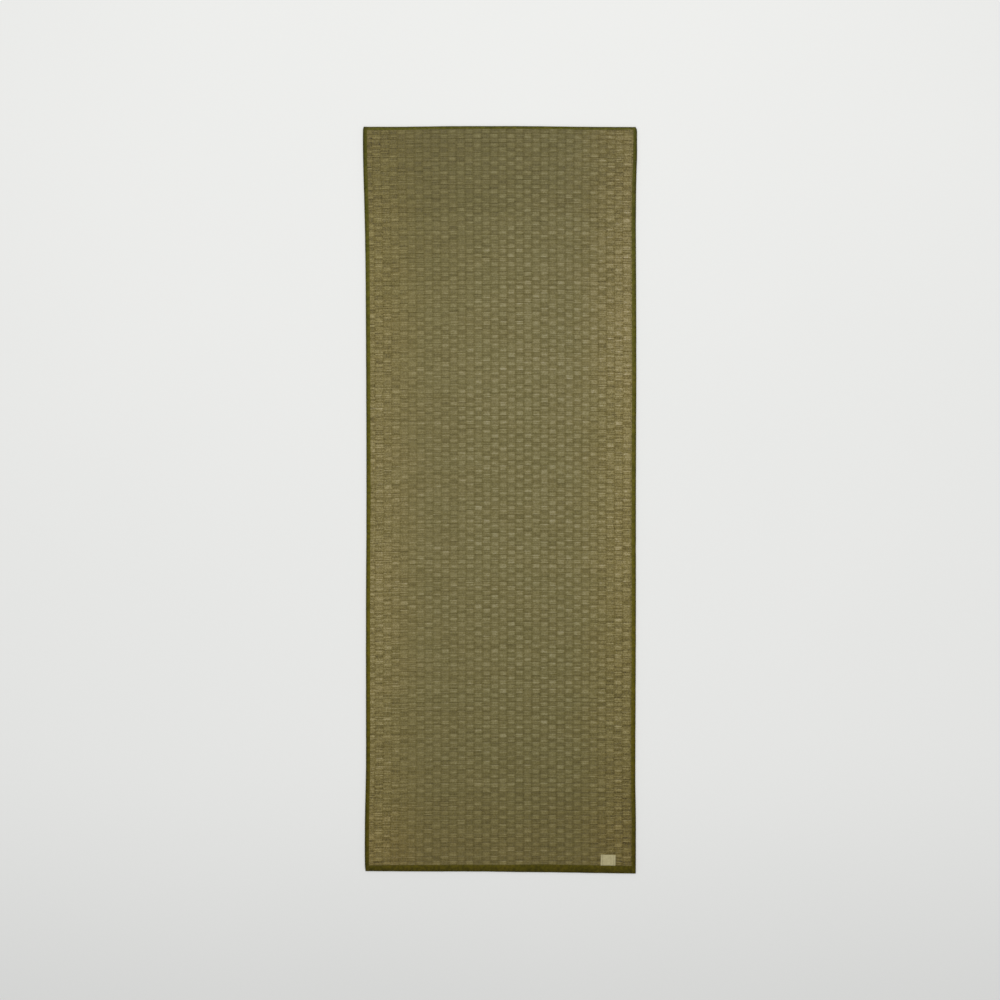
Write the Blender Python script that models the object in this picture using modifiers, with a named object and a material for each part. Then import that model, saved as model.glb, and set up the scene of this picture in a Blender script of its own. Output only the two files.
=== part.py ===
"""A rush yoga mat with folded cloth bindings and a small cloth label, lying flat on z = 0.

All sizes are in metres. X runs across the mat, Y along it and Z up, and the origin lies
on the floor under the middle of the mat.
"""

import bisect
from collections import namedtuple
import math

import bmesh
import bpy

MM = 0.001

# Clearance between neighbouring pieces
GAP = 0.3 * MM

# Woven rush sheet: crowned ribs between straight warp lines, thinner where the tape grips it
SHEET_CROWN = 3.2 * MM
RIB_RELIEF = 0.4 * MM
RIB_PITCH = 19.89 * MM
MIDDLE_WARP = -2.3 * MM
WARPS_LEFT = 15
WARPS_RIGHT = 15
MARGIN_HEIGHT = 3.0 * MM

# Binding tape, folded round the rim of the sheet
TAPE_THICKNESS = 0.7 * MM
TAPE_TOP = 3.6 * MM
FOLD_STEPS = 6

# Cloth label, sewn on near the lower right corner
LABEL_WIDTH = 36.0 * MM
LABEL_HEIGHT = 25.0 * MM
LABEL_THICKNESS = 0.5 * MM
LABEL_MIDDLE_X = 261.0 * MM
LABEL_TURN = math.radians(-1.2)
LABEL_BEVEL = 0.12 * MM

# Long edges and the width of their tape, in millimetres, from the top end to the bottom end
SIDE_COLUMNS = ("along", "left_edge", "right_edge", "left_leaf", "right_leaf")
SIDE_ROWS = (
    (902.5, -330.6, 331.0, 9.8, 9.0),
    (876.0, -331.2, 331.2, 9.8, 9.0),
    (826.0, -330.8, 331.0, 10.0, 9.4),
    (781.0, -329.7, 329.6, 10.0, 10.0),
    (723.0, -328.0, 328.6, 10.0, 10.4),
    (636.0, -326.0, 328.4, 10.0, 10.5),
    (520.0, -324.6, 328.9, 10.0, 10.5),
    (317.0, -323.4, 329.4, 10.0, 10.5),
    (27.0, -322.6, 328.4, 10.0, 10.5),
    (-320.0, -323.9, 328.2, 10.0, 10.5),
    (-580.0, -323.6, 327.1, 10.0, 10.4),
    (-668.0, -324.1, 327.0, 10.0, 10.3),
    (-784.0, -326.5, 328.2, 10.2, 10.5),
    (-860.0, -326.6, 328.1, 10.2, 10.5),
    (-902.5, -326.2, 327.9, 10.2, 10.5),
)

# Short edges and the width of their tape, in millimetres, from left to right
END_COLUMNS = ("across", "top_edge", "bottom_edge", "top_leaf", "bottom_leaf")
END_ROWS = (
    (-331.0, 900.9, -896.5, 7.8, 13.3),
    (-240.0, 901.0, -897.2, 7.8, 15.3),
    (-124.0, 902.4, -897.6, 7.0, 16.3),
    (-38.0, 902.5, -897.7, 6.8, 16.5),
    (50.0, 902.5, -899.0, 6.8, 18.0),
    (136.0, 901.8, -899.7, 7.0, 19.0),
    (223.0, 900.7, -901.2, 6.8, 19.2),
    (331.0, 900.2, -902.5, 6.4, 18.5),
)

# How far each corner is drawn in from the straight edge, and over what length, in millimetres
CORNER_CUT = {
    ("left", "top"): (1.8, 6.0),
    ("right", "top"): (3.6, 10.0),
    ("left", "bottom"): (1.4, 18.0),
    ("right", "bottom"): (0.4, 5.0),
}

# Where the outline is sampled along and across the mat
LAST_STATION = 870.0 * MM
STATIONS_ALONG = 19
STATIONS_ACROSS = 13
CORNER_STEPS = (0.0, 1.0 * MM, 3.0 * MM, 6.0 * MM, 10.0 * MM)

# Colour, roughness and metallic value of each material
MATERIALS = {
    "woven_rush": ((0.178, 0.153, 0.067, 1.0), 0.85, 0.0),
    "binding_cloth": ((0.089, 0.080, 0.018, 1.0), 0.9, 0.0),
    "label_cloth": ((0.413, 0.371, 0.195, 1.0), 0.9, 0.0),
}

# The sheet's rim inside the tape, from its tip inwards: the side of the tape that each line
# is measured from, how far in it lies, and the sheet's upper and lower faces there
HALF_HEIGHT = TAPE_TOP / 2
RIM_HALF = HALF_HEIGHT - TAPE_THICKNESS - GAP
TIP_HALF = 0.35 * MM
TIP_DEPTH = TAPE_THICKNESS + GAP + 0.1 * MM
RimLine = namedtuple("RimLine", "measured_from distance upper_face lower_face")
RIM_LINES = (
    RimLine("outer", TIP_DEPTH, HALF_HEIGHT + TIP_HALF, HALF_HEIGHT - TIP_HALF),
    RimLine("outer", HALF_HEIGHT, HALF_HEIGHT + RIM_HALF, HALF_HEIGHT - RIM_HALF),
    RimLine("inner", 0.1 * MM, HALF_HEIGHT + RIM_HALF, HALF_HEIGHT - RIM_HALF),
    RimLine("inner", 0.5 * MM, MARGIN_HEIGHT, 0.0),
)


def smooth_curve(rows, columns, name):
    """A smooth function, in metres, through one column of a table of millimetres."""
    column = columns.index(name)
    points = sorted((row[0] * MM, row[column] * MM) for row in rows)
    places = [place for place, _ in points]
    values = [value for _, value in points]
    slopes = []
    for i in range(len(points)):
        before = max(i - 1, 0)
        after = min(i + 1, len(points) - 1)
        slopes.append((values[after] - values[before]) / (places[after] - places[before]))

    def value_at(place):
        place = min(max(place, places[0]), places[-1])
        i = min(max(bisect.bisect_right(places, place) - 1, 0), len(places) - 2)
        span = places[i + 1] - places[i]
        t = (place - places[i]) / span
        return (
            (2 * t**3 - 3 * t**2 + 1) * values[i]
            + (t**3 - 2 * t**2 + t) * span * slopes[i]
            + (3 * t**2 - 2 * t**3) * values[i + 1]
            + (t**3 - t**2) * span * slopes[i + 1]
        )

    return value_at


SIDE_EDGE = {side: smooth_curve(SIDE_ROWS, SIDE_COLUMNS, side + "_edge") for side in ("left", "right")}
SIDE_LEAF = {side: smooth_curve(SIDE_ROWS, SIDE_COLUMNS, side + "_leaf") for side in ("left", "right")}
END_EDGE = {end: smooth_curve(END_ROWS, END_COLUMNS, end + "_edge") for end in ("top", "bottom")}
END_LEAF = {end: smooth_curve(END_ROWS, END_COLUMNS, end + "_leaf") for end in ("top", "bottom")}

# The direction that leads from each edge towards the middle of the mat
INWARD = {"left": 1, "right": -1, "top": -1, "bottom": 1}


def corner_cut(side, x, y):
    """How far the corner nearest to a point on a long edge is drawn in."""
    end = "top" if y > 0 else "bottom"
    cut, reach = CORNER_CUT[side, end]
    distance = abs(END_EDGE[end](x) - y)
    share = max(0.0, 1 - distance / (reach * MM))
    return cut * MM * share**2


def side_outer(side, y):
    """Where the outer face of a long edge lies at a height along the mat."""
    edge = SIDE_EDGE[side](y)
    return edge + INWARD[side] * corner_cut(side, edge, y)


def side_inner(side, y):
    """Where the tape of a long edge stops on the sheet."""
    return SIDE_EDGE[side](y) + INWARD[side] * SIDE_LEAF[side](y)


def end_outer(end, x):
    """Where the outer face of a short edge lies."""
    return END_EDGE[end](x)


def end_inner(end, x):
    """Where the tape of a short edge stops on the sheet."""
    return END_EDGE[end](x) + INWARD[end] * END_LEAF[end](x)


def even_steps(first, last, count):
    return [first + (last - first) * i / (count - 1) for i in range(count)]


def make_material(name):
    colour, roughness, metallic = MATERIALS[name]
    material = bpy.data.materials.new(name)
    material.use_nodes = True
    shader = material.node_tree.nodes["Principled BSDF"]
    shader.inputs["Base Color"].default_value = colour
    shader.inputs["Roughness"].default_value = roughness
    shader.inputs["Metallic"].default_value = metallic
    return material


def new_object(name, grid, collection, material):
    mesh = bpy.data.meshes.new(name)
    grid.to_mesh(mesh)
    grid.free()
    piece = bpy.data.objects.new(name, mesh)
    collection.objects.link(piece)
    mesh.materials.append(material)
    return piece


def grid_position(point, columns, rows):
    """The column and the row of a point of a new grid, which spans -1 to 1 both ways."""
    return (round((point.x + 1) / 2 * (columns - 1)), round((point.y + 1) / 2 * (rows - 1)))


def shaped_grid(columns, rows, place):
    """A flat grid whose point in a column and a row is moved to place(column, row)."""
    grid = bmesh.new()
    bmesh.ops.create_grid(grid, x_segments=columns - 1, y_segments=rows - 1, size=1.0)
    for vertex in grid.verts:
        vertex.co = place(*grid_position(vertex.co, columns, rows))
    return grid


def tape_section(leaf):
    """The outer face of a folded tape: (distance from the outer edge, height) pairs,
    from the free edge of the upper leaf round the fold to that of the lower leaf."""
    points = [(leaf, TAPE_TOP)]
    for step in range(FOLD_STEPS + 1):
        angle = math.pi * step / FOLD_STEPS
        across = HALF_HEIGHT * (1 - math.sin(angle))
        points.append((across, HALF_HEIGHT + HALF_HEIGHT * math.cos(angle)))
    points.append((leaf, 0.0))
    return points


SECTION_POINTS = len(tape_section(0.0))


def thicken(piece):
    """Gives the folded tape its thickness, on the side that faces the sheet."""
    solid = piece.modifiers.new("Thickness", "SOLIDIFY")
    solid.thickness = TAPE_THICKNESS
    solid.offset = -1.0
    solid.use_even_offset = True
    piece.data.polygons.foreach_set("use_smooth", [True] * len(piece.data.polygons))
    piece.data.set_sharp_from_angle(angle=math.radians(40))


def make_side_tape(side, collection, material):
    """The tape along a long edge, which runs through both corners."""
    inward = INWARD[side]
    stations = even_steps(-LAST_STATION, LAST_STATION, STATIONS_ALONG)
    ends = len(CORNER_STEPS)
    count = len(stations) + 2 * ends

    def station(row, x):
        if row < ends:
            return end_outer("bottom", x) + CORNER_STEPS[row]
        if row >= count - ends:
            return end_outer("top", x) - CORNER_STEPS[count - 1 - row]
        return stations[row - ends]

    def place(column, row):
        y = station(row, SIDE_EDGE[side](0.0))
        outer = side_outer(side, y)
        leaf = (side_inner(side, y) - outer) * inward
        across, height = tape_section(leaf)[column]
        x = outer + inward * across
        return (x, station(row, x), height)

    grid = shaped_grid(SECTION_POINTS, count, place)
    if side == "left":
        bmesh.ops.reverse_faces(grid, faces=grid.faces)
    piece = new_object("binding_" + side, grid, collection, material)
    thicken(piece)
    return piece


def make_end_tape(end, collection, material):
    """The tape along a short edge, which butts between the two side tapes."""
    inward = INWARD[end]
    left_end = side_inner("left", end_outer(end, 0.0)) + GAP
    right_end = side_inner("right", end_outer(end, 0.0)) - GAP
    stations = even_steps(left_end, right_end, STATIONS_ACROSS)

    def place(column, row):
        x = stations[row]
        across, height = tape_section(END_LEAF[end](x))[column]
        y = end_outer(end, x) + inward * across
        if row == 0:
            x = side_inner("left", y) + GAP
        if row == STATIONS_ACROSS - 1:
            x = side_inner("right", y) - GAP
        return (x, y, height)

    grid = shaped_grid(SECTION_POINTS, STATIONS_ACROSS, place)
    if end == "top":
        bmesh.ops.reverse_faces(grid, faces=grid.faces)
    piece = new_object("binding_" + end, grid, collection, material)
    thicken(piece)
    return piece


def rib_lines():
    """The sheet's lengthwise lines: (place across the mat, height of the upper face)."""
    lines = []
    for warp in range(-WARPS_LEFT, WARPS_RIGHT + 1):
        lines.append((MIDDLE_WARP + warp * RIB_PITCH, SHEET_CROWN - RIB_RELIEF))
        lines.append((MIDDLE_WARP + (warp + 0.5) * RIB_PITCH, SHEET_CROWN))
    return lines


def make_sheet(collection, material):
    """The woven rush sheet: a ribbed upper face, a flat lower one and a thinner rim."""
    rim = len(RIM_LINES)
    ribs = rib_lines()
    stations = even_steps(-LAST_STATION, LAST_STATION, STATIONS_ALONG)
    columns = len(ribs) + 2 * rim
    rows = len(stations) + 2 * rim

    def rim_place(line, outer, inner, inward):
        start = outer if RIM_LINES[line].measured_from == "outer" else inner
        return start + inward * RIM_LINES[line].distance

    def across(column, y):
        if column < rim:
            return rim_place(column, side_outer("left", y), side_inner("left", y), 1)
        if column >= columns - rim:
            line = columns - 1 - column
            return rim_place(line, side_outer("right", y), side_inner("right", y), -1)
        return ribs[column - rim][0]

    def along(row, x):
        if row < rim:
            return rim_place(row, end_outer("bottom", x), end_inner("bottom", x), 1)
        if row >= rows - rim:
            line = rows - 1 - row
            return rim_place(line, end_outer("top", x), end_inner("top", x), -1)
        return stations[row - rim]

    def faces_at(column, row):
        """Heights of the upper and the lower face, where the ribs run up to the end tapes."""
        from_side = min(column, columns - 1 - column)
        from_end = min(row, rows - 1 - row)
        if from_end == rim - 1:
            from_end = rim
        line = min(from_side, from_end)
        if line < rim:
            return RIM_LINES[line].upper_face, RIM_LINES[line].lower_face
        return ribs[column - rim][1], 0.0

    def place(column, row, height):
        y = along(row, across(column, 0.0))
        x = across(column, y)
        return (x, along(row, x), height)

    sheet = bmesh.new()
    bmesh.ops.create_grid(sheet, x_segments=columns - 1, y_segments=rows - 1, size=1.0)
    rise = sheet.verts.layers.float.new("rise")
    for vertex in sheet.verts:
        column, row = grid_position(vertex.co, columns, rows)
        upper, lower = faces_at(column, row)
        vertex.co = place(column, row, lower)
        vertex[rise] = upper - lower
    raised = bmesh.ops.extrude_face_region(sheet, geom=sheet.faces)
    for element in raised["geom"]:
        if isinstance(element, bmesh.types.BMVert):
            element.co.z += element[rise]
    bmesh.ops.recalc_face_normals(sheet, faces=sheet.faces)
    return new_object("rush_mat", sheet, collection, material)


def make_label(collection, material):
    """The small cloth label, which lies on the sheet against the lower binding."""
    label = bmesh.new()
    bmesh.ops.create_cube(label, size=1.0)
    bmesh.ops.scale(label, vec=(LABEL_WIDTH, LABEL_HEIGHT, LABEL_THICKNESS), verts=label.verts)
    piece = new_object("label", label, collection, material)
    half_depth = (
        LABEL_HEIGHT * math.cos(LABEL_TURN) + LABEL_WIDTH * abs(math.sin(LABEL_TURN))
    ) / 2
    piece.location = (
        LABEL_MIDDLE_X,
        end_inner("bottom", LABEL_MIDDLE_X) + GAP + half_depth,
        SHEET_CROWN + GAP + LABEL_THICKNESS / 2,
    )
    piece.rotation_euler.z = LABEL_TURN
    rounding = piece.modifiers.new("Rounding", "BEVEL")
    rounding.width = LABEL_BEVEL
    rounding.segments = 2
    return piece


def main():
    for old in list(bpy.data.objects):
        bpy.data.objects.remove(old, do_unlink=True)
    collection = bpy.data.collections.new("rush_yoga_mat")
    bpy.context.scene.collection.children.link(collection)
    materials = {name: make_material(name) for name in MATERIALS}
    make_sheet(collection, materials["woven_rush"])
    for side in ("left", "right"):
        make_side_tape(side, collection, materials["binding_cloth"])
    for end in ("top", "bottom"):
        make_end_tape(end, collection, materials["binding_cloth"])
    make_label(collection, materials["label_cloth"])


main()
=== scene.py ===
"""The looks of the rush yoga mat: woven rush, folded cotton bindings, stitches and a label."""

import math

import bpy
import numpy as np
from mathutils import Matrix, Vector


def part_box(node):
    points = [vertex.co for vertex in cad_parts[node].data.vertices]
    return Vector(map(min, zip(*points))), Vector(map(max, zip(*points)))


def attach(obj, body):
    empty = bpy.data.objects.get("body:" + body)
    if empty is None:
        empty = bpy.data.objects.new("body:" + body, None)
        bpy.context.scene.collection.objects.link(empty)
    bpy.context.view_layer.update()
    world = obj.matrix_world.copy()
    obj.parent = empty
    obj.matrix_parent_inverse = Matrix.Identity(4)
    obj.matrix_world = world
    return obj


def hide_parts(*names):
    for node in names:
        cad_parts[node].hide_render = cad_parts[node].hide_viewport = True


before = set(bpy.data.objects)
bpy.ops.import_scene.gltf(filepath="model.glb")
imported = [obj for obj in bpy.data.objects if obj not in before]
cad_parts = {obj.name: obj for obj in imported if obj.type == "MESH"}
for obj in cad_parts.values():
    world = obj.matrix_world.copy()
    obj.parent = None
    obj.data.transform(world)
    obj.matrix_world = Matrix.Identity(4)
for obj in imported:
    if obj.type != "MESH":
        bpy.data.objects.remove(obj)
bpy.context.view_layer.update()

MM = 0.001
SIDES = ("left", "right")
ENDS = ("top", "bottom")

# The direction that leads from each edge towards the middle of the mat
INWARD = {"left": 1, "right": -1, "top": -1, "bottom": 1}

# Camera straight above the mat
FRAME_WIDTH = 2415.1 * MM
LENS_MM = 85.0
SENSOR_MM = 36.0
AIM_Y = -0.5 * MM
CLIP_END = 100.0

# Floor just below the mat
FLOOR_SIZE = 30.0
FLOOR_Z = -0.2 * MM

# Studio light: a pale sky all round and one soft panel overhead
SKY_COLOUR = (0.97, 0.985, 1.0, 1.0)
SKY_STRENGTH = 0.58
PANEL_PLACE = (0.0, 1.9, 6.0)
PANEL_AIM = (0.0, 0.3, 0.0)
PANEL_SIDE = 2.2
PANEL_POWER = 200.0
PANEL_COLOUR = (1.0, 0.99, 0.965)

# Binding tape and the rim of the sheet inside it
TAPE_TOP = 3.6 * MM
HALF_HEIGHT = TAPE_TOP / 2
RIM_HALF = 0.8 * MM
TIP_HALF = 0.35 * MM
TIP_DEPTH = 1.1 * MM
RIM_GRIP = 0.7 * MM
SEAM_GAP = 0.15 * MM

# Weave: groups of rush strands run across the mat, over and under straight warp lines
CELL_WIDTH = 19.89 * MM
MIDDLE_WARP = -2.3 * MM
FIRST_WARP = -15
LAST_WARP = 15
CELL_LENGTH = 10.8315 * MM
CELL_START = 7.9 * MM
STRANDS_PER_CELL = 7
STRAND_PITCH = CELL_LENGTH / STRANDS_PER_CELL
CROSSING_HALF = 2.6 * MM
SHEET_MIDDLE = 1.62 * MM
CELL_RELIEF = 0.48 * MM
BUNDLE_HALF = 1.02 * MM
STRAND_RIDGE = 0.3 * MM
SHEET_BOTTOM_ROW = -892.0 * MM
SHEET_TOP_ROW = 890.0 * MM
SLICES = 5

# How unevenly the strands lie, and how fully they follow their group up and down
WEAVE_SEED = 11
ROW_JITTER = 0.16 * MM
STRAND_LIFT = 0.045 * MM
CROWN_LIFT = 0.03 * MM
FREE_HOLD = (0.8, 1.0)
BORDER_HOLD = (-0.1, 1.0)

# How far and how often a warp line sways
WARP_SWAY = (0.3 * MM, 90.0 * MM)
WARP_SEED = 100

# Lines of points beside a long edge: measured from what, how far in, share of the relief
MARGIN_LINES = (
    ("outer", TIP_DEPTH, 0.0),
    ("outer", HALF_HEIGHT, 0.0),
    ("inner", -RIM_GRIP, 0.0),
    ("inner", 0.6 * MM, 0.5),
    ("inner", 3.2 * MM, 1.0),
)

# How fast the relief rises at a short edge, and how far the rows are drawn onto that edge
RELIEF_RISE = 4.0 * MM
END_REACH = {"bottom": 12.5 * MM, "top": 7.0 * MM}

# How far the rows of strands stray from even spacing along the mat, in millimetres
DRIFT_COLUMNS = ("along", "shift")
DRIFT_ROWS = (
    (895.0, 10.8),
    (747.0, 6.6),
    (626.0, 3.7),
    (505.0, 2.1),
    (385.0, 1.8),
    (143.0, 0.4),
    (22.0, 0.0),
    (-219.0, 0.3),
    (-340.0, 0.7),
    (-461.0, 1.9),
    (-581.0, 2.4),
    (-702.0, 1.5),
    (-823.0, -0.7),
    (-895.0, -2.0),
)

# The rows bow, sag at the upper right, and ripple in waves: radians for each metre across
# and along, and a phase
BOW_DEPTH = 2.9 * MM
BOW_MIDDLE = 40.0 * MM
BOW_SPAN = 300.0 * MM
TOP_SAG = 2.3 * MM
SAG_ACROSS = (0.08, 0.2)
SAG_ALONG = (0.1, 0.6)
RIPPLE_DEPTH = 0.25 * MM
RIPPLE_WAVES = ((41, 23, 1.3), (77, -35, 0.4))

# How far past the middle the weave still feels a long edge bend
FLARE_REACH = 170.0 * MM

# Warp threads: their places in a column, and sets by name, height, spacing and sides
THREAD_RADIUS = 0.2 * MM
THREAD_PLACES = (0.27, 0.73)
THREAD_TUCK = 3.0 * MM
THREAD_SWAY = (0.3 * MM, 70.0 * MM)
THREAD_SEED = 500
THREAD_SETS = (
    ("warp_threads_upper", 2.26 * MM, 20.0 * MM, 5),
    ("warp_threads_lower", 0.98 * MM, 40.0 * MM, 4),
)

# Long edges and the width of their tape, in millimetres, from top to bottom
SIDE_COLUMNS = ("along", "left_edge", "right_edge", "left_leaf", "right_leaf")
SIDE_ROWS = (
    (902.5, -330.6, 331.0, 9.8, 9.0),
    (876.0, -331.2, 331.2, 9.8, 9.0),
    (826.0, -330.8, 331.0, 10.0, 9.4),
    (781.0, -329.7, 329.6, 10.0, 10.0),
    (723.0, -328.0, 328.6, 10.0, 10.4),
    (636.0, -326.0, 328.4, 10.0, 10.5),
    (520.0, -324.6, 328.9, 10.0, 10.5),
    (317.0, -323.4, 329.4, 10.0, 10.5),
    (27.0, -322.6, 328.4, 10.0, 10.5),
    (-320.0, -323.9, 328.2, 10.0, 10.5),
    (-580.0, -323.6, 327.1, 10.0, 10.4),
    (-668.0, -324.1, 327.0, 10.0, 10.3),
    (-784.0, -326.5, 328.2, 10.2, 10.5),
    (-860.0, -326.6, 328.1, 10.2, 10.5),
    (-902.5, -326.2, 327.9, 10.2, 10.5),
)

# Short edges and the width of their tape, in millimetres, from left to right
END_COLUMNS = ("across", "top_edge", "bottom_edge", "top_leaf", "bottom_leaf")
END_ROWS = (
    (-331.0, 900.9, -896.5, 7.8, 13.3),
    (-240.0, 901.0, -897.2, 7.8, 15.3),
    (-124.0, 902.4, -897.6, 7.0, 16.3),
    (-38.0, 902.5, -897.7, 6.8, 16.5),
    (50.0, 902.5, -899.0, 6.8, 18.0),
    (136.0, 901.8, -899.7, 7.0, 19.0),
    (223.0, 900.7, -901.2, 6.8, 19.2),
    (331.0, 900.2, -902.5, 6.4, 18.5),
)

# How far each corner is drawn in from the straight edge, and over what length, in millimetres
CORNER_CUT = {
    ("left", "top"): (1.8, 6.0),
    ("right", "top"): (3.6, 10.0),
    ("left", "bottom"): (1.4, 18.0),
    ("right", "bottom"): (0.4, 5.0),
}

# Section through a folded tape, from its upper leaf round the fold to the lower one: line
# measured from, how far in and how high in millimetres, any shares of the pucker and lean
UPPER_TIP = 1.02 * MM
SEAM_HALF = 1.1 * MM
FOLD_REACH = 2.4 * MM
OUTSIDE_ROWS = (
    ("leaf", -0.03, 3.18, 1.0, 0.0),
    ("leaf", -0.6, 3.40, 0.8, 0.0),
    ("seam", 0.0, 3.28),
    ("inner", 0.0, 3.48),
    ("middle", 0.0, 3.60, 0.0, 1.0),
    ("edge", 2.4, 3.55, 0.0, 1.0),
    ("edge", 1.1, 3.22),
    ("edge", 0.32, 2.6),
    ("edge", 0.0, 1.8),
    ("edge", 0.32, 1.0),
    ("edge", 1.1, 0.38),
    ("edge", 2.4, 0.04),
    ("middle", 0.0, 0.0),
    ("inner", 0.0, 0.06),
    ("seam", 0.0, 0.3),
    ("leaf", -0.6, 0.08),
    ("leaf", -0.03, 0.16),
)

# The side facing the sheet, from the lower leaf up: line, how far in, height above middle
INSIDE_ROWS = (
    ("leaf", 0.0, -1.2),
    ("edge", 2.6, -1.08),
    ("edge", 1.5, -0.8),
    ("edge", 0.95, 0.0),
    ("edge", 1.5, 0.8),
    ("edge", 2.6, 1.08),
)

# How a side tape closes: distance from its end, shares left of its height and inner space
CLOSING_ROWS = ((0.0, 0.3, 0.05), (0.35, 0.66, 0.5), (1.0, 0.9, 0.9), (2.2, 1.0, 1.0))
CLOSED_BY = 4.0 * MM
FULL_FROM = 6.0 * MM
SIDE_STATIONS = 330
END_STATIONS = 125
SLANT_REACH = 20.0 * MM

# Unevenness of a tape: how much and how often it swings
TAPE_SEED = 40
PUCKER = (0.10 * MM, 11.0 * MM)
LEAN = (0.09 * MM, 45.0 * MM)
LEAN_MEAN = -0.05 * MM
STRAY = (0.22 * MM, 28.0 * MM)
HEM = (0.18 * MM, 60.0 * MM)

# Shade of the upper tape beside the other three, and the leaf width of a tape's painted fold shade
END_SHADE = {"top": 1.25}
LEAF_SHADE = 10.0 * MM

# Stitches along the inner edge of each tape
STITCH_SEED = 90
STITCH_PITCH = 4.2 * MM
STITCH_LENGTH = 3.3 * MM
STITCH_RADIUS = 0.17 * MM
STITCH_INSET = 1.7 * MM
STITCH_TOP = 3.36 * MM
STITCH_BOTTOM = 0.2 * MM
STITCH_SWAY = (0.12 * MM, 40.0 * MM)
SEAM_ENDS = {"side": 5.0 * MM, "end": 3.0 * MM}

# Rings of one stitch: place along it, share of its radius, and how far it sinks in
STITCH_RINGS = ((-0.5, 0.35, 0.8), (-0.22, 1.0, 0.0), (0.22, 1.0, 0.0), (0.5, 0.35, 0.8))
STITCH_SIDES = 4

# Label: its visible size, its tuck under the tape, and the form of its cloth
LABEL_WIDTH = 36.0 * MM
LABEL_HEIGHT = 25.0 * MM
LABEL_TUCK = 1.6 * MM
LABEL_TURN = math.radians(-1.2)
LABEL_X = 261.0 * MM
LABEL_COLUMNS = 31
LABEL_ROWS = 25
LABEL_UNDERSIDE = 3.42 * MM
LABEL_THICKNESS = 0.42 * MM
LABEL_RIPPLE = 0.12 * MM
LABEL_HEM_RISE = 0.15 * MM
LABEL_HEM_FROM = 0.86
LABEL_ROUND_FROM = 0.9
LABEL_DIP = 0.75 * MM
LABEL_DIP_FROM = 0.82

# How much paler than the mean the groups that pass over are: painted light on the raised
# floats and painted shade on the sunk ones. A change over the mat is given as its axis, its
# start and end in metres, and the value at each
CHECK_CONTRAST = 0.118
CHECK_STRENGTH = (
    ("x", -0.31, 0.06, 0.52, 1.15),
    ("x", 0.14, 0.3, 1.0, 0.8),
    ("y", 0.4, 0.85, 1.0, 0.84),
    ("y", -0.85, -0.5, 0.92, 1.0),
)
LEAST_CHECK = 0.58
CHECK_SPREAD = 0.84

# A float's painted light: its relief, its fall beside the crest, the lean of its painted
# highlight towards the mat's middle, and its range
OVER_RELIEF = (-0.5, 0.98)
CREST_SHIFT = 0.03
CREST_FALL = (0.26, 0.5, 1.0, 0.0)
PAINTED_HIGHLIGHT_LEAN = (("x", -0.3, 0.3, 0.9, -0.5),)
OVER_GAIN = 2.1
OVER_MEAN = 0.8

# The margins along both long edges, where single strands stand out more
MARGIN = (0.2, 0.3)
MARGIN_DIVE = 0.13
MARGIN_TONE = 0.9
MARGIN_SPOTS = 0.7

# Painted shade in the grooves along the warp lines, where strands dive, and in the crevices
# between strands, and a painted shadow at the steps between groups
PAINTED_GROOVE_DARKNESS = (0.24, 0.5, 0.0, 0.068)
DIVE_CHANCE = (0.35, 1.0)
DIVE_REACH = (0.41, 0.48)
DIVE_PAINTED_SHADE = 0.21
PAINTED_CREVICE_SHADE = (0.3, 0.5, 0.0, 0.2)
PAINTED_STEP_SHADOW = (0.43, 0.5, 0.0, 0.3)

# How much single floats, spots on them and fibres differ in shade
MEAN_SHADE = 1.03
FLOAT_SPREAD = 0.4
SPOT_RANGE = (0.2, 0.8, -0.31, 0.31)
FIBRE_RANGE = (0.25, 0.75, 0.88, 1.12)

# Noise along the strands: swings in a cell, unlikeness of neighbours, layer and detail
STEM_NOISE = (0.45, 7.31, 0.0, 1.0)
SHORT_NOISE = (1.9, 5.17, 4.0, 0.0)
SPOT_NOISE = (6.2, 3.7, 2.0, 2.5)
FIBRE_NOISE = (1.2, 9.0, 0.0, 3.0)

# Layers of random numbers: one number for each strand, dive or float
OWN_LAYER = 3.0
DIVE_LAYER = 5.0
FLOAT_LAYER = 9.0

# Shares of the strand, the stem and short stretches in the tint, and its colours
OWN_SHARE = 0.19
STEM_SHARE = 0.46
SHORT_SHARE = 0.35
RUSH_STOPS = (
    (0.15, (0.107, 0.0880, 0.0190)),
    (0.38, (0.152, 0.1270, 0.0380)),
    (0.52, (0.175, 0.1475, 0.0495)),
    (0.66, (0.198, 0.1680, 0.0625)),
    (0.88, (0.252, 0.2165, 0.0975)),
)

# Patches, tan ends of the strands, a dull band and a brown end, as colour factors
PATCH_STRETCH = 0.6
PATCH_SCALE = 16.0
PATCH_RANGE = (0.35, 0.65)
GREENER = (0.995, 1.002, 1.0)
BROWNER = (1.008, 0.998, 0.99)
TAN_REACH = (0.15, 0.33)
TAN = (1.16, 1.09, 0.94)
DULL_BAND = (("x", -0.3, -0.24), ("x", -0.15, 0.0, 1.0, 0.0))
DULL = (0.965, 0.95, 0.9)
BROWN_END = (("y", -0.89, -0.6, 1.0, 0.0),)
BROWN = (1.02, 0.965, 0.87)

# Darker ends, a painted falloff of light and sheen, a paler strip at the right edge, and two
# darker corners
END_PAINTED_FALLOFF = (("y", -0.95, -0.1, 0.755, 1.01), ("y", 0.36, 0.9, 1.0, 0.735))
PALE_STRIP = (("x", 0.285, 0.305), ("y", -0.1, 0.15, -0.02, 0.055))
CORNER_SHIFT = 0.35
CORNER_MIDDLE = 0.08

# Powers of a shade that green and blue follow, so that what is darker is more yellow, and
# how the blue of the upper half changes across the mat
SHADE_POWERS = (1.1, 2.15)
FALLOFF_POWERS = (1.04, 1.85)
BLUE_TILT = 0.28
BLUE_TILT_FROM = (0.1, 0.6)

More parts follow.
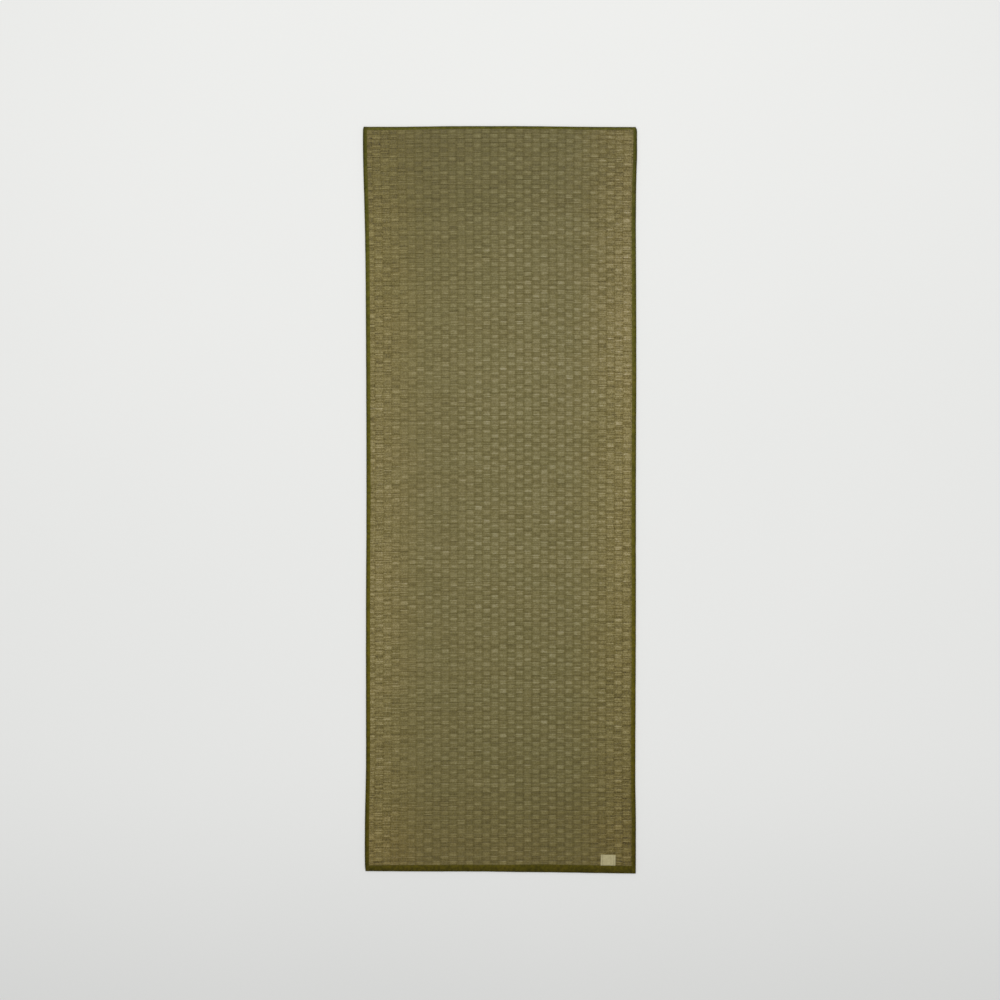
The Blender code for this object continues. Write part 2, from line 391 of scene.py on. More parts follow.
# Round strands with fine fibres
ROUNDNESS = 1.02
FIBRE_RELIEF = 0.22
STRAND_BUMP = (0.3 * MM, 0.8)
GLOSS_RANGE = (0.2, 0.8, 0.5, 0.42)

# Yarn of the cloths
TAPE_YARN = 0.9 * MM
LABEL_YARN = 0.7 * MM

# Threads: name, mottle, colours, slant and rate of the twist, its relief, and roughness
WARP_COLOURS = ((0.3, (0.135, 0.118, 0.055)), (0.7, (0.205, 0.178, 0.092)))
STITCH_COLOURS = ((0.3, (0.080, 0.074, 0.018)), (0.7, (0.115, 0.104, 0.034)))
WARP = ("cotton_warp_thread", (90.0, 2.0), WARP_COLOURS, (2.0, 6000.0), 0.08 * MM, 0.85)
STITCH = ("olive_sewing_thread", (300.0, 1.0), STITCH_COLOURS, (1.0, 9000.0), 0.06 * MM, 0.7)

# Colours of the cloths and the floor, from their darker to their paler places
LABEL_STOPS = ((0.3, (0.36, 0.315, 0.165)), (0.7, (0.44, 0.39, 0.21)))
FLOOR_STOPS = ((0.3, (0.785, 0.787, 0.775)), (0.7, (0.797, 0.797, 0.785)))
TAPE_STOPS = (
    (0.3, (0.082, 0.074, 0.006)),
    (0.52, (0.096, 0.084, 0.008)),
    (0.75, (0.108, 0.088, 0.011)),
)

# Shades of the tape: its yarn, its mottle, painted shade towards the fold and a painted falloff
# of light towards both ends. The tape is redder at the bottom end and greener at the top end
TAPE_YARN_SHADE = (0.0, 1.0, 0.86, 1.1)
TAPE_MOTTLE = (0.25, 0.75, 0.76, 1.24)
TAPE_PAINTED_FOLD_SHADE = (0.0, 0.9, 0.66, 1.14)
TAPE_PAINTED_FALLOFF = (("y", -0.9, -0.3, 0.64, 1.0), ("y", 0.5, 0.85, 1.0, 0.78))
TAPE_HUE = (("y", -0.95, 0.95),)
TAPE_GREENER = (0.96, 1.03, 1.5)
TAPE_REDDER = (1.06, 0.97, 0.6)

# The label's two woven bands, by their distance from its middle, and its shades
BAND_START = (0.0118, 0.0124)
BAND_END = (0.0144, 0.015)
BAND_SHADE = (0.0, 1.0, 1.0, 0.86)
LABEL_YARN_SHADE = (0.0, 1.0, 0.88, 1.06)

# The floor is painted a little darker below the mat's lower end, a painted falloff of the light
FLOOR_PAINTED_FALLOFF = (("y", -1.45, -0.55, 0.89, 1.0),)


def smooth_curve(rows, columns, name):
    """A smooth function, in metres, through one column of a table of millimetres."""
    column = columns.index(name)
    points = sorted((row[0] * MM, row[column] * MM) for row in rows)
    places = [place for place, _ in points]
    values = [value for _, value in points]
    slopes = []
    for i in range(len(points)):
        before = max(i - 1, 0)
        after = min(i + 1, len(points) - 1)
        slopes.append((values[after] - values[before]) / (places[after] - places[before]))

    def value_at(place):
        place = np.clip(np.asarray(place, float), places[0], places[-1])
        i = np.clip(np.searchsorted(places, place, side="right") - 1, 0, len(places) - 2)
        start = np.take(places, i)
        span = np.take(places, i + 1) - start
        t = (place - start) / span
        return (
            (2 * t**3 - 3 * t**2 + 1) * np.take(values, i)
            + (t**3 - 2 * t**2 + t) * span * np.take(slopes, i)
            + (3 * t**2 - 2 * t**3) * np.take(values, i + 1)
            + (t**3 - t**2) * span * np.take(slopes, i + 1)
        )

    return value_at


EDGE = {}
LEAF = {}
for edges, rows, columns in ((SIDES, SIDE_ROWS, SIDE_COLUMNS), (ENDS, END_ROWS, END_COLUMNS)):
    for edge in edges:
        EDGE[edge] = smooth_curve(rows, columns, edge + "_edge")
        LEAF[edge] = smooth_curve(rows, columns, edge + "_leaf")
DRIFT = smooth_curve(DRIFT_ROWS, DRIFT_COLUMNS, "shift")


def corner_cut(side, y):
    """How far the corner nearest to each point of a long edge is drawn in."""
    cuts = np.zeros_like(y)
    for end in ENDS:
        cut, reach = CORNER_CUT[side, end]
        distance = (EDGE[end](EDGE[side](y)) - y) * -INWARD[end]
        share = np.clip(1 - distance / (reach * MM), 0, 1)
        cuts = cuts + cut * MM * share**2
    return cuts


def outer_line(edge, place):
    """Where the outer face of an edge lies, at places along it."""
    line = EDGE[edge](place)
    if edge in SIDES:
        line = line + INWARD[edge] * corner_cut(edge, place)
    return line


def inner_line(edge, place):
    """Where the tape of an edge stops on the sheet, at places along it."""
    return EDGE[edge](place) + INWARD[edge] * LEAF[edge](place)


def wander(places, sway, seed):
    """Smooth noise along a line, by how far it sways each way and in what length."""
    size, spacing = sway
    places = np.asarray(places, float)
    first = places.min() - 2 * spacing
    count = int((places.max() - first) / spacing) + 5
    knots = np.random.default_rng(seed).uniform(-1, 1, count)
    position = (places - first) / spacing
    i = position.astype(int)
    t = position - i
    eased = t * t * (3 - 2 * t)
    return size * (knots[i] * (1 - eased) + knots[i + 1] * eased)


def smooth_step(value):
    value = np.clip(value, 0, 1)
    return value * value * (3 - 2 * value)


def add_object(name, data):
    """A new object in the scene, from a mesh, a camera or a light."""
    added = bpy.data.objects.new(name, data)
    bpy.context.scene.collection.objects.link(added)
    return added


def mesh_object(name, vertices, faces, material, smooth=None):
    """A new object from arrays of points and of faces with an equal number of corners."""
    vertices = np.asarray(vertices, np.float32).reshape(-1, 3)
    faces = np.asarray(faces, np.int32)
    corners = faces.shape[1]
    mesh = bpy.data.meshes.new(name)
    mesh.vertices.add(len(vertices))
    mesh.vertices.foreach_set("co", vertices.ravel())
    mesh.loops.add(faces.size)
    mesh.loops.foreach_set("vertex_index", faces.ravel())
    mesh.polygons.add(len(faces))
    mesh.polygons.foreach_set("loop_start", np.arange(len(faces), dtype=np.int32) * corners)
    if smooth is None:
        smooth = np.ones(len(faces), bool)
    mesh.polygons.foreach_set("use_smooth", smooth)
    mesh.update(calc_edges=True)
    mesh.materials.append(material)
    return add_object(name, mesh)


def grid_quads(index):
    """The quads of a grid of point numbers, seen counter-clockwise from the side where
    columns run to the right and rows run up."""
    return np.stack(
        [index[:-1, :-1], index[:-1, 1:], index[1:, 1:], index[1:, :-1]], axis=-1
    ).reshape(-1, 4)


def grid_normals(points):
    """The directions that the upper side of a grid of points faces in."""
    rising = points[1:, 1:] - points[:-1, :-1]
    falling = points[1:, :-1] - points[:-1, 1:]
    faces = np.cross(rising, falling)
    faces /= np.linalg.norm(faces, axis=-1, keepdims=True)
    total = np.zeros(points.shape)
    for rows in (slice(None, -1), slice(1, None)):
        for columns in (slice(None, -1), slice(1, None)):
            total[rows, columns] += faces
    return total / np.linalg.norm(total, axis=-1, keepdims=True)


def point_vectors(piece, name, values):
    """Stores a vector for each point of a mesh, for its material to read."""
    attribute = piece.data.attributes.new(name, "FLOAT_VECTOR", "POINT")
    attribute.data.foreach_set("vector", np.asarray(values, np.float32).ravel())


class Graph:
    """A material's nodes, added one call at a time. A value is a number or a socket."""

    def __init__(self, name):
        self.material = bpy.data.materials.new(name)
        self.material.use_nodes = True
        self.tree = self.material.node_tree
        self.shader = self.tree.nodes["Principled BSDF"]
        self.place = self.node("ShaderNodeTexCoord").outputs["Object"]
        self.x, self.y, _ = self.split(self.place)

    def node(self, kind, inputs=(), **settings):
        node = self.tree.nodes.new(kind)
        for key, value in settings.items():
            setattr(node, key, value)
        for key, value in dict(inputs).items():
            self.set(node.inputs[key], value)
        return node

    def set(self, socket, value):
        if isinstance(value, bpy.types.NodeSocket):
            self.tree.links.new(value, socket)
        else:
            socket.default_value = value

    def math(self, operation, *values):
        node = self.node("ShaderNodeMath", operation=operation)
        for socket, value in zip(node.inputs, values):
            self.set(socket, value)
        return node.outputs[0]

    def plus(self, first, *others):
        for other in others:
            first = self.math("ADD", first, other)
        return first

    def times(self, first, *others):
        for other in others:
            first = self.math("MULTIPLY", first, other)
        return first

    def less(self, value, taken):
        return self.math("SUBTRACT", value, taken)

    def off_middle(self, value):
        """How far a value's fraction is from a half, from 0 to 0.5."""
        return self.math("ABSOLUTE", self.less(self.math("FRACT", value), 0.5))

    def between(self, value, low, high, to_low=0.0, to_high=1.0):
        """value eased from one range to another, and held at its ends."""
        inputs = {"Value": value, 1: low, 2: high, 3: to_low, 4: to_high}
        return self.node("ShaderNodeMapRange", inputs, interpolation_type="SMOOTHSTEP").outputs[0]

    def over_mat(self, changes):
        """The product of smooth changes over the mat."""
        axes = {"x": self.x, "y": self.y}
        return self.times(*[self.between(axes[axis], *change) for axis, *change in changes])

    def mix(self, factor, first, second, blend="MIX"):
        node = self.node("ShaderNodeMix", data_type="RGBA", blend_type=blend)
        self.set(node.inputs[0], factor)
        self.set(node.inputs[6], first)
        self.set(node.inputs[7], second)
        return node.outputs[2]

    def split(self, vector):
        return self.node("ShaderNodeSeparateXYZ", {0: vector}).outputs

    def join(self, x=0.0, y=0.0, z=0.0):
        return self.node("ShaderNodeCombineXYZ", {0: x, 1: y, 2: z}).outputs[0]

    def attribute(self, name):
        """The three numbers that a mesh stores for each point under a name."""
        return self.split(self.node("ShaderNodeAttribute", attribute_name=name).outputs["Vector"])

    def noise(self, vector, scale, detail, roughness=0.5):
        inputs = {"Vector": vector, "Scale": scale, "Detail": detail, "Roughness": roughness}
        return self.node("ShaderNodeTexNoise", inputs).outputs[0]

    def random(self, vector):
        return self.node("ShaderNodeTexWhiteNoise", {"Vector": vector}).outputs[0]

    def ramp(self, value, stops):
        node = self.node("ShaderNodeValToRGB", {0: value})
        band = node.color_ramp
        while len(band.elements) < len(stops):
            band.elements.new(0.5)
        for element, (place, colour) in zip(band.elements, stops):
            element.position = place
            element.color = (*colour, 1.0)
        return node.outputs[0]

    def tinted(self, colour, factors):
        """colour times three fixed factors."""
        return self.mix(1.0, colour, (*factors, 1.0), "MULTIPLY")

    def shaded(self, colour, red, green, blue):
        """colour times three values that vary over the surface."""
        return self.mix(1.0, colour, self.join(red, green, blue), "MULTIPLY")

    def cloth_weave(self, pitch):
        """The height of a plain weave of fine yarn, from 0 to 1."""
        scale = 2 * math.pi / pitch
        across = self.math("SINE", self.times(self.x, scale))
        along = self.math("SINE", self.times(self.y, scale))
        return self.plus(0.5, self.times(0.5, self.times(across, along)))

    def twist(self, slant, rate):
        """The height of the plies that are wound round a thread."""
        return self.math("SINE", self.times(self.plus(self.y, self.times(self.x, slant)), rate))

    def bump(self, height, distance, strength):
        inputs = {"Height": height, "Distance": distance, "Strength": strength}
        self.set(self.shader.inputs["Normal"], self.node("ShaderNodeBump", inputs).outputs[0])

    def finish(self, colour, roughness, **constants):
        self.set(self.shader.inputs["Base Color"], colour)
        self.set(self.shader.inputs["Roughness"], roughness)
        for name, value in constants.items():
            self.shader.inputs[name.replace("_", " ")].default_value = value
        return self.material


class RushGraph(Graph):
    """The nodes of the woven rush, which read where each point lies in the weave."""

    def __init__(self, name):
        super().__init__(name)
        self.column, self.strand, self.relief = self.attribute("weave")
        self.number = self.math("FLOOR", self.strand)
        self.across = self.less(self.math("FRACT", self.column), 0.5)
        self.in_column = self.math("ABSOLUTE", self.across)
        self.in_strand = self.off_middle(self.strand)
        group = self.math("DIVIDE", self.strand, STRANDS_PER_CELL)
        self.in_group = self.off_middle(group)
        cell = self.join(self.math("FLOOR", self.column), self.math("FLOOR", group))
        self.cell_random = self.random(cell)
        self.margin = self.between(self.math("ABSOLUTE", self.x), *MARGIN)
        self.strength = self.over_mat(CHECK_STRENGTH)


def strand_noise(g, kind, strand):
    """Noise along the strands of rush, of one of the kinds named above."""
    swings, unlikeness, layer, detail = kind
    along = g.times(g.column, swings)
    apart = g.times(strand, unlikeness)
    return g.noise(g.join(along, apart, layer), 1.0, detail)


def rush_tint(g):
    """Each strand has its own tint, which drifts from stem to stem along it."""
    own = g.random(g.join(g.number, OWN_LAYER))
    stem = strand_noise(g, STEM_NOISE, g.number)
    short = strand_noise(g, SHORT_NOISE, g.number)
    return g.plus(
        g.times(own, OWN_SHARE),
        g.times(stem, STEM_SHARE),
        g.times(short, SHORT_SHARE),
    )


def rush_ground(g, tint):
    """The colour of the rush before shade and wear."""
    colour = g.ramp(tint, RUSH_STOPS)
    patches = g.noise(g.join(g.times(g.x, PATCH_STRETCH), g.y), PATCH_SCALE, 3.0)
    greener = g.tinted(colour, GREENER)
    browner = g.tinted(colour, BROWNER)
    colour = g.mix(g.between(patches, *PATCH_RANGE), greener, browner)
    side = g.between(g.math("ABSOLUTE", g.x), *TAN_REACH)
    colour = g.mix(side, colour, g.tinted(colour, TAN))
    return g.mix(g.over_mat(DULL_BAND), colour, g.tinted(colour, DULL))


def painted_check_shade(g):
    """Painted light on the floats that pass over and painted shade on the sunk ones, more so in some
    cells and towards the mat's middle.
    """
    uneven = g.plus(LEAST_CHECK, g.times(g.cell_random, CHECK_SPREAD))
    contrast = g.times(g.strength, uneven, CHECK_CONTRAST)
    off_crest = g.math("ABSOLUTE", g.less(g.across, CREST_SHIFT))
    # Painted highlight on the side of each float that faces the mat's middle
    lean = g.times(g.across, g.over_mat(PAINTED_HIGHLIGHT_LEAN))
    over = g.between(g.relief, *OVER_RELIEF)
    over = g.times(over, g.between(off_crest, *CREST_FALL), g.plus(1.0, lean))
    over = g.less(g.times(over, OVER_GAIN), OVER_MEAN)
    return g.plus(1.0, g.times(over, contrast))


def painted_groove_shade(g):
    """Painted shade along the warp lines, darker where some strands dive deeper than others."""
    crossing = g.math("FLOOR", g.plus(g.column, 0.5))
    chance = g.random(g.join(g.number, crossing, DIVE_LAYER))
    depth = g.plus(DIVE_PAINTED_SHADE, g.times(g.margin, MARGIN_DIVE))
    near_warp = g.between(g.in_column, *DIVE_REACH)
    dive = g.times(g.between(chance, *DIVE_CHANCE), depth, near_warp)
    groove = g.times(g.between(g.in_column, *PAINTED_GROOVE_DARKNESS), g.strength)
    return g.plus(groove, dive)


def float_shade(g):
    """Single floats and spots on them are paler or darker than their neighbours."""
    tone = g.random(g.join(g.number, g.math("FLOOR", g.column), FLOAT_LAYER))
    more = g.plus(1.0, g.times(g.margin, MARGIN_TONE))
    tone = g.times(g.less(tone, 0.5), FLOAT_SPREAD, more)
    more = g.plus(1.0, g.times(g.margin, MARGIN_SPOTS))
    spots = g.between(strand_noise(g, SPOT_NOISE, g.number), *SPOT_RANGE)
    return g.plus(MEAN_SHADE, g.plus(tone, g.times(spots, more)))


def rush_tone_and_painted_shade(g, fibre):
    """The shade of each place in the weave: painted light and shade of floats, grooves, crevices and
    steps, and the random tone of floats, spots and fibres.
    """
    # Painted shadow at the steps between groups of strands
    step = g.times(g.between(g.in_group, *PAINTED_STEP_SHADOW), g.cell_random)
    return g.times(
        painted_check_shade(g),
        g.less(1.0, painted_groove_shade(g)),
        g.less(1.0, g.between(g.in_strand, *PAINTED_CREVICE_SHADE)),
        float_shade(g),
        g.less(1.0, step),
        g.between(fibre, *FIBRE_RANGE),
    )


def rush_falloff_and_corners(g):
    """Both ends are a little darker than the middle, a painted falloff of light and sheen, and two
    corners more so.
    """
    corners = g.times(g.x, g.plus(g.y, CORNER_MIDDLE), CORNER_SHIFT)
    return g.times(
        g.over_mat(END_PAINTED_FALLOFF),
        g.plus(1.0, g.over_mat(PALE_STRIP)),
        g.plus(1.0, corners),
    )


def darkened(g, colour, shade, green_power, blue_power):
    """colour in a shade that turns it more yellow where it is darker."""
    green = g.math("POWER", shade, green_power)
    blue = g.math("POWER", shade, blue_power)
    return g.shaded(colour, shade, green, blue)


def rush_material():
    """Dried rush: strands of many tints, painted paler where they pass over, tan at both sides."""
    g = RushGraph("woven_rush_strands")
    tint = rush_tint(g)
    fibre = strand_noise(g, FIBRE_NOISE, g.strand)
    # Painted light and shade of the weave, times the random tone of its strands
    colour = darkened(g, rush_ground(g, tint), rush_tone_and_painted_shade(g, fibre), *SHADE_POWERS)
    # Painted falloff of light and sheen towards both ends, and the darker corners
    colour = darkened(g, colour, rush_falloff_and_corners(g), *FALLOFF_POWERS)
    tilt = g.times(g.x, BLUE_TILT, g.between(g.y, *BLUE_TILT_FROM))
    colour = g.shaded(colour, 1.0, 1.0, g.plus(1.0, tilt))
    colour = g.mix(g.over_mat(BROWN_END), colour, g.tinted(colour, BROWN))
    across_strand = g.times(g.in_strand, 2.0)
    rounded = g.math("SQRT", g.less(ROUNDNESS, g.times(across_strand, across_strand)))
    g.bump(g.plus(rounded, g.times(fibre, FIBRE_RELIEF)), *STRAND_BUMP)
    return g.finish(colour, g.between(tint, *GLOSS_RANGE), Specular_IOR_Level=0.25)


def thread_material(name, mottle, colours, twist, relief, roughness):
    """Twisted thread."""
    g = Graph(name)
    g.bump(g.twist(*twist), relief, 0.6)
    return g.finish(g.ramp(g.noise(g.place, *mottle), colours), roughness)


def tape_material():
    """Woven cotton tape in dark olive, with painted shade towards its fold so that it is paler towards
    its inner edge.
    """
    g = Graph("olive_cotton_tape")
    weave = g.cloth_weave(TAPE_YARN)
    depth, own_shade, _ = g.attribute("tape")
    colour = g.ramp(g.noise(g.place, 22.0, 4.0, 0.6), TAPE_STOPS)
    mottle = g.between(g.noise(g.place, 170.0, 1.0), *TAPE_MOTTLE)
    # Painted shade towards the fold and a painted falloff of light towards both ends
    shade = g.times(
        g.between(weave, *TAPE_YARN_SHADE),
        g.times(mottle, g.between(depth, *TAPE_PAINTED_FOLD_SHADE)),
        g.over_mat(TAPE_PAINTED_FALLOFF),
        own_shade,
    )
    greener = g.tinted(colour, TAPE_GREENER)
    redder = g.tinted(colour, TAPE_REDDER)
    colour = g.mix(g.over_mat(TAPE_HUE), redder, greener)
    g.bump(weave, 0.12 * MM, 0.7)
    return g.finish(g.shaded(colour, shade, shade, shade), 0.9, Specular_IOR_Level=0.12)


def label_material():
    """Cream woven label cloth with two slightly darker woven bands."""
    g = Graph("cream_label_cloth")
    weave = g.cloth_weave(LABEL_YARN)
    off_centre = g.math("ABSOLUTE", g.less(g.x, LABEL_X))
    band = g.less(g.between(off_centre, *BAND_START), g.between(off_centre, *BAND_END))
    colour = g.ramp(g.noise(g.place, 160.0, 3.0), LABEL_STOPS)
    shade = g.times(g.between(weave, *LABEL_YARN_SHADE), g.between(band, *BAND_SHADE))
    g.bump(weave, 0.1 * MM, 0.6)
    colour = g.shaded(colour, shade, shade, shade)
    return g.finish(colour, 0.85, Sheen_Weight=0.1, Sheen_Roughness=0.5)


def floor_material():
    """Smooth pale paint with a faint mottle, and painted shade below the mat's lower end."""
    g = Graph("pale_floor")
    colour = g.ramp(g.noise(g.place, 0.9, 3.0), FLOOR_STOPS)
    # Painted falloff of light below the mat's lower end
    shade = g.over_mat(FLOOR_PAINTED_FALLOFF)
    return g.finish(g.shaded(colour, shade, shade, shade), 0.9, Specular_IOR_Level=0.1)


def warp_line(number):
    """Where a warp line crosses the middle of the mat."""
    return MIDDLE_WARP + number * CELL_WIDTH


def flare(x, y):
    """How far the weave is drawn sideways where the long edges bend out or in."""
    total = 0.0
    for side in SIDES:
        bend = EDGE[side](y) - EDGE[side](0.0)
        total = total + bend * np.clip((FLARE_REACH - INWARD[side] * x) / (3 * FLARE_REACH), 0, 1)
    return total


class Weave:
    """The rows of points that the woven sheet is made from.

    Half steps count along the mat: even ones lie in the valleys between strands and odd
    ones on their crowns."""

    def __init__(self):
        first = math.ceil((SHEET_BOTTOM_ROW - CELL_START) / STRAND_PITCH)
        last = math.floor((SHEET_TOP_ROW - CELL_START) / STRAND_PITCH)
        self.half_steps = np.arange(2 * first, 2 * last + 1)
        self.random = np.random.default_rng(WEAVE_SEED)
        jitter = self.random.uniform(-ROW_JITTER, ROW_JITTER, len(self.half_steps))
        jitter[1::2] = (jitter[:-1:2] + jitter[2::2]) / 2
        self.even = CELL_START + self.half_steps * STRAND_PITCH / 2
        self.strand_place = self.even + jitter

    def along(self, x, v):
        """Where the strand coordinate v lies along the mat, at x across it."""
        bow = BOW_DEPTH * ((x - BOW_MIDDLE) / BOW_SPAN) ** 2
        right = smooth_step((x - SAG_ACROSS[0]) / SAG_ACROSS[1])
        upper = smooth_step((v - SAG_ALONG[0]) / SAG_ALONG[1])
        waves = sum(np.sin(x * across + v * along + phase) for across, along, phase in RIPPLE_WAVES)
        return v + DRIFT(v) - bow - TOP_SAG * right * upper + RIPPLE_DEPTH * waves

    def held_along(self, x, v):
        """The same, with the first and last rows drawn onto the ends of the sheet."""
        place = self.along(x, v)
        for end, reach in END_REACH.items():
            last_row = self.strand_place[0 if end == "bottom" else -1]
            target = EDGE[end](x) + INWARD[end] * TIP_DEPTH
            weight = 1 - smooth_step(np.abs(v - last_row) / reach)
            place = place + (target - self.along(x, last_row)) * weight
        return place


def sheet_columns():
    """The lines of points along the sheet: what each follows, how far in from it, the share
    of the relief there and the column of cells."""
    columns = [("left_" + line, offset, share, FIRST_WARP - 1) for line, offset, share in MARGIN_LINES]
    for number in range(FIRST_WARP, LAST_WARP + 1):
        columns.append(("warp", warp_line(number) - CROSSING_HALF, 1.0, number - 1))
        columns.append(("warp", warp_line(number) + CROSSING_HALF, 1.0, number))
    for line, offset, share in reversed(MARGIN_LINES):
        columns.append(("right_" + line, offset, share, LAST_WARP))
    return columns


def lines_across(columns, rough_y):
    """Where each line of points lies across the mat, row by row."""
    x = np.empty((len(rough_y), len(columns)))
    for j, (kind, offset, _, _) in enumerate(columns):
        if kind == "warp":
            x[:, j] = offset + wander(rough_y, WARP_SWAY, WARP_SEED + j // 2)
            x[:, j] += flare(offset, rough_y)
        else:
            side, line = kind.split("_")
            edge = (outer_line if line == "outer" else inner_line)(side, rough_y)
            x[:, j] = edge + INWARD[side] * offset
    return x


def strand_hold(weave, steps, cell_column):
    """How fully each strand follows its group in each cell. Its outer two are held back."""
    within = steps // 2 % STRANDS_PER_CELL
    at_border = ((within == 0) | (within == STRANDS_PER_CELL - 1))[:, None]
    columns = LAST_WARP - FIRST_WARP + 2
    free = weave.random.uniform(*FREE_HOLD, (len(steps), columns))
    held = weave.random.uniform(*BORDER_HOLD, (len(steps), columns))
    return np.where(at_border, held, free)[:, cell_column - FIRST_WARP + 1]


def weave_relief(weave, cell_column):
    """How low and how high the strands at each point go, from -1 to 1, and the heights of
    both faces. Groups of strands are up or down by turns."""
    steps = weave.half_steps
    above = (steps // 2 // STRANDS_PER_CELL)[:, None]
    below = ((steps - 1) // 2 // STRANDS_PER_CELL)[:, None]
    up_above = 1.0 - 2.0 * ((above + cell_column) % 2)
    up_below = 1.0 - 2.0 * ((below + cell_column) % 2)
    crown = (steps % 2 == 1)[:, None]
    hold = strand_hold(weave, steps, cell_column)
    ridge = np.where(crown, 0.0, STRAND_RIDGE)
    lift = weave.random.normal(0, STRAND_LIFT, (len(steps), 1))
    lift = lift + weave.random.normal(0, CROWN_LIFT, up_above.shape)
    lift = np.where(crown, lift, 0.0)
    highest = np.where(crown, up_above * hold, np.maximum(up_above, up_below))
    lowest = np.where(crown, up_above * hold, np.minimum(up_above, up_below))
    top = SHEET_MIDDLE + CELL_RELIEF * lowest + BUNDLE_HALF - ridge + lift
    bottom = SHEET_MIDDLE + CELL_RELIEF * highest - BUNDLE_HALF + ridge
    return lowest, highest, top, bottom - np.minimum(lift, 0.0)


def slice_cuts(steps):
    """The rows where the sheet is cut into slices, between groups of strands."""
    cell_steps = 2 * STRANDS_PER_CELL
    cuts = [0]
    for cut in range(1, SLICES):
        row = round(len(steps) * cut / SLICES)
        cuts.append(row - int(steps[row]) % cell_steps)
    return cuts + [len(steps) - 1]


def make_sheet(weave, material):
    """The woven rush in slices along the mat, each one closed."""
    columns = sheet_columns()
    steps = weave.half_steps
    v = weave.strand_place[:, None]
    rough_y = weave.along(0.0, v)[:, 0]
    x = lines_across(columns, rough_y)
    y = weave.held_along(x, v)
    cell_column = np.array([cell for _, _, _, cell in columns])
    lowest, highest, field_top, field_bottom = weave_relief(weave, cell_column)

    # The relief fades towards the tape, which grips the sheet's thinner rim
    share = np.array([part for _, _, part, _ in columns])[None, :]
    for end in ENDS:
        inside = (y - inner_line(end, x)) * INWARD[end]
        share = share * smooth_step((inside + RIM_GRIP) / RELIEF_RISE)
    half = np.full(x.shape, RIM_HALF)
    half[:, [0, -1]] = TIP_HALF
    half[[0, -1], :] = TIP_HALF
    top = HALF_HEIGHT + half + (field_top - HALF_HEIGHT - half) * share
    bottom = HALF_HEIGHT - half + (field_bottom - HALF_HEIGHT + half) * share

    # What the material reads: place in the columns and in the rows of strands, and relief
    places = (x - flare(x, rough_y[:, None]) - warp_line(0)) / CELL_WIDTH
    strands = np.broadcast_to((weave.even[:, None] - CELL_START) / STRAND_PITCH, x.shape)
    weave_top = np.stack([places, strands, lowest * share], -1)
    weave_low = np.stack([places, strands, -highest * share], -1)

    # Normals come from the whole sheet, so that no cut shows
    upper = np.stack([x, y, top], -1)
    lower = np.stack([x, y, bottom], -1)
    upper_normals = grid_normals(upper)
    lower_normals = -grid_normals(lower)
    cuts = slice_cuts(steps)
    slices = []
    for number in range(SLICES):
        rows = slice(cuts[number], cuts[number + 1] + 1)
        piece = closed_slab(f"rush_weave_{number + 1}", upper[rows], lower[rows], material)
        point_vectors(piece, "weave", both_sides(weave_top[rows], weave_low[rows]))
        normals = both_sides(upper_normals[rows], lower_normals[rows])
        piece.data.normals_split_custom_set_from_vertices(normals)
        slices.append(piece)
    return slices


def both_sides(top, bottom):
    """Values for the points of a closed sheet, from a grid of them for each side."""
    return np.concatenate([top.reshape(-1, 3), bottom.reshape(-1, 3)])


def closed_slab(name, top, bottom, material):
    """A closed sheet between two grids of points, with flat walls round its edge."""
    rows, columns, _ = top.shape
    upper = np.arange(rows * columns).reshape(rows, columns)
    lower = upper + rows * columns
    rim_upper = np.concatenate([upper[0], upper[1:, -1], upper[-1, -2::-1], upper[-2:0:-1, 0]])
    rim_lower = rim_upper + rows * columns
    walls = np.stack([rim_lower, np.roll(rim_lower, -1), np.roll(rim_upper, -1), rim_upper], -1)
    faces = np.concatenate([grid_quads(upper), grid_quads(lower)[:, ::-1], walls])
    smooth = np.ones(len(faces), bool)
    smooth[-len(walls):] = False
    return mesh_object(name, both_sides(top, bottom), faces, material, smooth)


def make_warp_threads(name, height, step, sides, material):
    """Cotton threads along the mat, seen where the rush passes behind them. They are round
    tubes, whose open ends lie inside the tapes."""
    low = inner_line("bottom", 0.0) - THREAD_TUCK
    high = inner_line("top", 0.0) + THREAD_TUCK
    y = np.linspace(low, high, int((high - low) / step))
    paths = []
    for number in range(FIRST_WARP - 1, LAST_WARP + 1):
        for part in THREAD_PLACES:
            middle = warp_line(number + part)
            if middle < inner_line("left", 0.0) or middle > inner_line("right", 0.0):
                continue
            seed = THREAD_SEED + 10 * number + int(part * 10)
            x = middle + wander(y, THREAD_SWAY, seed) + flare(middle, y)
            paths.append(np.stack([x, y, np.full_like(y, height)], -1))
    turn = 2 * math.pi * np.arange(sides) / sides
    circle = np.stack([np.cos(turn), np.zeros(sides), np.sin(turn)], -1) * THREAD_RADIUS
    points = np.array(paths)[:, :, None, :] + circle
    index = np.arange(points.size // 3).reshape(points.shape[:3])
    around = np.roll(index, -1, axis=2)
    faces = np.stack([index[:, :-1], index[:, 1:], around[:, 1:], around[:, :-1]], -1)
    return mesh_object(name, points, faces.reshape(-1, 4), material)


def tape_ring(leaf, pucker, lean, room=1.0):
    """One section through a tape, as (distance in from the outer edge, height) pairs. room is
    the share left of the space between its leaves."""
    seam = leaf - STITCH_INSET
    inner = seam - SEAM_HALF
    lines = {"edge": 0.0, "middle": (inner + FOLD_REACH) / 2, "inner": inner, "seam": seam, "leaf": leaf}
    ring = [(leaf, HALF_HEIGHT + (UPPER_TIP + pucker) * room)]
    for line, offset, height, *shares in OUTSIDE_ROWS:
        pucker_share, lean_share = shares or (0.0, 0.0)
        height = height * MM + pucker * pucker_share + lean * lean_share
        ring.append((lines[line] + offset * MM, height))
    for line, offset, height in INSIDE_ROWS:
        ring.append((lines[line] + offset * MM, HALF_HEIGHT + height * MM * room))
    return ring


